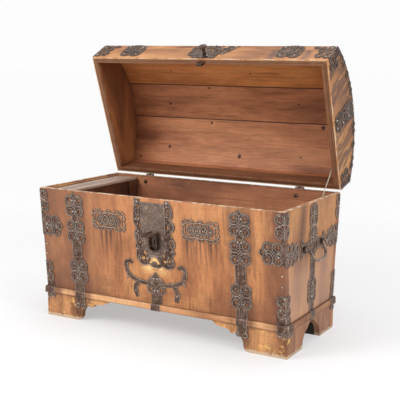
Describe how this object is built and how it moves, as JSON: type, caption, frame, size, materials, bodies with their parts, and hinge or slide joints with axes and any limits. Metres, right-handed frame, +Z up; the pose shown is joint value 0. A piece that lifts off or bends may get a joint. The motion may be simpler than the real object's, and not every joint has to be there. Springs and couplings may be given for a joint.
{
  "type": "coffer chest",
  "caption": "Dome-lidded oak coffer with pierced wrought-iron mounts, strap hinges, a lock with a hinged keyhole flap, a till, bail handles and bracket feet, lid open.",
  "frame": {"origin": "on the floor, under the middle of the chest's width and of its carcass's depth", "axes": "+X to the right of someone facing the lock, -Y out of the front, +Z up"},
  "size_m": [1.2984, 0.8469, 1.2531],
  "materials": {
    "carcass_oak": "waxed oak with vertical streaks, worn and darkened",
    "plinth_oak": "waxed oak, worn golden at the edges",
    "lid_oak": "reddish brown oak, unwaxed inside",
    "till_wood": "dry grey-brown pine",
    "mount_iron": "forged and pierced, dark with worn edges",
    "lock_iron": "forged, burnished by handling",
    "handle_iron": "forged, dark",
    "nail_iron": "rounded heads, polished by wear",
    "cord": "twisted hemp"
  },
  "bodies": {
    "chest": {"back_panel": "carcass_oak", "base_moulding": "plinth_oak", "bottom_board": "carcass_oak", "cartouche_left": "mount_iron", "cartouche_right": "mount_iron", "chest_nails": "nail_iron", "corner_blocks": "plinth_oak", "corner_mounts_front_left": "mount_iron", "corner_mounts_front_right": "mount_iron", "corner_mounts_rear_left": "mount_iron", "corner_mounts_rear_right": "mount_iron", "cover_pin": "lock_iron", "end_strap_left": "mount_iron", "end_strap_right": "mount_iron", "front_panel": "carcass_oak", "front_strap_left": "mount_iron", "front_strap_right": "mount_iron", "handle_eyes_left": "handle_iron", "handle_eyes_right": "handle_iron", "hinge_bolts": "nail_iron", "hinge_leaf_left": "mount_iron", "hinge_leaf_right": "mount_iron", "hinge_pins": "mount_iron", "key_guide": "lock_iron", "left_panel": "carcass_oak", "lock_case": "lock_iron", "lock_plate": "lock_iron", "plinth_back": "plinth_oak", "plinth_front": "plinth_oak", "plinth_left": "plinth_oak", "plinth_right": "plinth_oak", "right_panel": "carcass_oak", "scroll_mount": "mount_iron", "stay_cord": "cord", "stay_staple_chest": "mount_iron", "till_batten": "till_wood", "till_bottom": "till_wood", "till_side": "till_wood"},
    "lid": {"lid_catch": "lock_iron", "lid_centre_plate": "mount_iron", "lid_corner_mounts": "mount_iron", "lid_end_strap_left": "mount_iron", "lid_end_strap_right": "mount_iron", "lid_front_board": "lid_oak", "lid_knob": "handle_iron", "lid_left_end": "lid_oak", "lid_nails": "nail_iron", "lid_rear_board": "lid_oak", "lid_right_end": "lid_oak", "lid_stave_front": "lid_oak", "lid_stave_rear": "lid_oak", "lid_stave_top": "lid_oak", "lid_strap_left": "mount_iron", "lid_strap_right": "mount_iron", "stay_staple_lid": "mount_iron"},
    "till_lid": {"till_lid": "till_wood"},
    "left_handle": {"left_handle": "handle_iron"},
    "right_handle": {"right_handle": "handle_iron"},
    "keyhole_cover": {"keyhole_cover": "lock_iron"},
    "lock_bolt": {"lock_bolt": "lock_iron"}
  },
  "joints": [
    {"name": "lid", "type": "hinge", "parent": "chest", "child": "lid", "pos_m": [0, 0.312, 0.6085], "axis": [-1, 0, 0], "range_deg": [-70, 0], "deforming": ["stay_cord"]},
    {"name": "till_lid", "type": "hinge", "parent": "chest", "child": "till_lid", "pos_m": [-0.559, 0, 0.593], "axis": [0, -1, 0], "range_deg": [0, 95]},
    {"name": "left_handle", "type": "hinge", "parent": "chest", "child": "left_handle", "pos_m": [-0.617, 0, 0.425], "axis": [0, 1, 0], "range_deg": [0, 110]},
    {"name": "right_handle", "type": "hinge", "parent": "chest", "child": "right_handle", "pos_m": [0.617, 0, 0.425], "axis": [0, -1, 0], "range_deg": [0, 110]},
    {"name": "keyhole_cover", "type": "hinge", "parent": "chest", "child": "keyhole_cover", "pos_m": [0.001, -0.31084, 0.45952], "axis": [1, 0, 0], "range_deg": [0, 88]},
    {"name": "lock_bolt", "type": "slide", "parent": "chest", "child": "lock_bolt", "axis": [-1, 0, 0], "range_m": [0, 0.018]}
  ]
}
